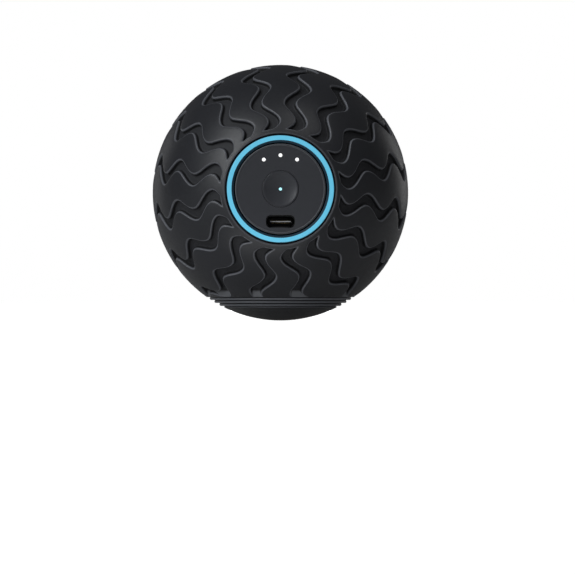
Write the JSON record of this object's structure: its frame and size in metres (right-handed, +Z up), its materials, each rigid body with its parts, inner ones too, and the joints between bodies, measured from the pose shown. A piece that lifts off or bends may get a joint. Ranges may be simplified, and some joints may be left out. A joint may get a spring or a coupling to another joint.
{
  "type": "massage ball",
  "caption": "Vibrating massage ball: grooved silicone sleeve over a rigid core, ribbed base, round control panel with push button, lights and charging port.",
  "frame": {"origin": "the lowest point of the ball, where it touches the floor", "axes": "+Z up through the ball's centre; the control panel and its charging port face -Y"},
  "size_m": [0.085, 0.0813, 0.085],
  "materials": {
    "sleeve_silicone": "matte moulded silicone with a faint satin sheen",
    "base_silicone": "matte moulded silicone",
    "shell_plastic": "fine texture",
    "inner_plastic": "glass-filled nylon",
    "housing_plastic": "matte black",
    "panel_plastic": "smooth matte",
    "button_plastic": "smooth matte",
    "ring_blue": "satin light blue",
    "power_light": "clear light guide, lit cyan-white",
    "indicator_light": "clear light guide, lit white",
    "led_package": "white package",
    "port_metal": "black-nickel plated",
    "port_insulator": "grey moulded tongue",
    "gold_contacts": "gold plated",
    "circuit_board": "green solder mask",
    "chip_black": "moulded epoxy",
    "connector_nylon": "natural nylon",
    "seal_rubber": "smooth",
    "screw_steel": "zinc plated",
    "motor_steel": "drawn steel",
    "weight_metal": "sintered",
    "magnet_ferrite": "sintered",
    "copper": "enamelled copper",
    "bronze": "sintered bronze",
    "battery_wrap": "shrink wrap",
    "pad_foam": "closed-cell foam",
    "strap_fabric": "woven strap",
    "wire_red": "insulated wire",
    "wire_black": "insulated wire"
  },
  "bodies": {
    "ball": {"base_cap": "base_silicone", "base_insert": "inner_plastic", "base_screws": "screw_steel", "battery_cell_lower": "battery_wrap", "battery_cell_upper": "battery_wrap", "battery_cradle": "inner_plastic", "battery_pads": "pad_foam", "battery_straps": "strap_fabric", "battery_wires": "wire_red", "board_components": "chip_black", "board_connectors": "connector_nylon", "board_screws": "screw_steel", "chassis": "inner_plastic", "chassis_screws": "screw_steel", "clamp_screws": "screw_steel", "control_board": "circuit_board", "cradle_screws": "screw_steel", "face_plate": "panel_plastic", "front_shell": "shell_plastic", "indicator_leds": "led_package", "indicator_light_guide": "indicator_light", "motor_brushes": "magnet_ferrite", "motor_bushings": "bronze", "motor_can": "motor_steel", "motor_clamps": "inner_plastic", "motor_end_cap": "inner_plastic", "motor_magnets": "magnet_ferrite", "motor_mount_rings": "seal_rubber", "motor_terminals": "gold_contacts", "motor_wires": "wire_black", "panel_housing": "housing_plastic", "panel_screws": "screw_steel", "panel_seal": "seal_rubber", "port_gasket": "seal_rubber", "power_leds": "led_package", "protection_board": "circuit_board", "protection_components": "chip_black", "rear_shell": "shell_plastic", "shell_gasket": "seal_rubber", "shell_screws": "screw_steel", "silicone_sleeve": "sleeve_silicone", "tact_switch_body": "chip_black", "trim_ring": "ring_blue", "usb_contacts": "gold_contacts", "usb_insulator": "port_insulator", "usb_receptacle_shell": "port_metal"},
    "button": {"power_button": "button_plastic", "button_light_guide": "power_light", "tact_switch_plunger": "inner_plastic"},
    "rotor": {"motor_shaft": "motor_steel", "motor_armature": "motor_steel", "motor_windings": "copper", "motor_commutator": "copper", "eccentric_weight_left": "weight_metal", "eccentric_weight_right": "weight_metal", "weight_set_screws": "screw_steel"}
  },
  "joints": [
    {"name": "button_press", "type": "slide", "parent": "ball", "child": "button", "axis": [0, 1, 0], "range_m": [0, 0.0004], "stiffness_N_per_m": 2500},
    {"name": "rotor_spin", "type": "hinge", "parent": "ball", "child": "rotor", "pos_m": [0, 0, 0.0425], "axis": [1, 0, 0], "continuous": true}
  ]
}
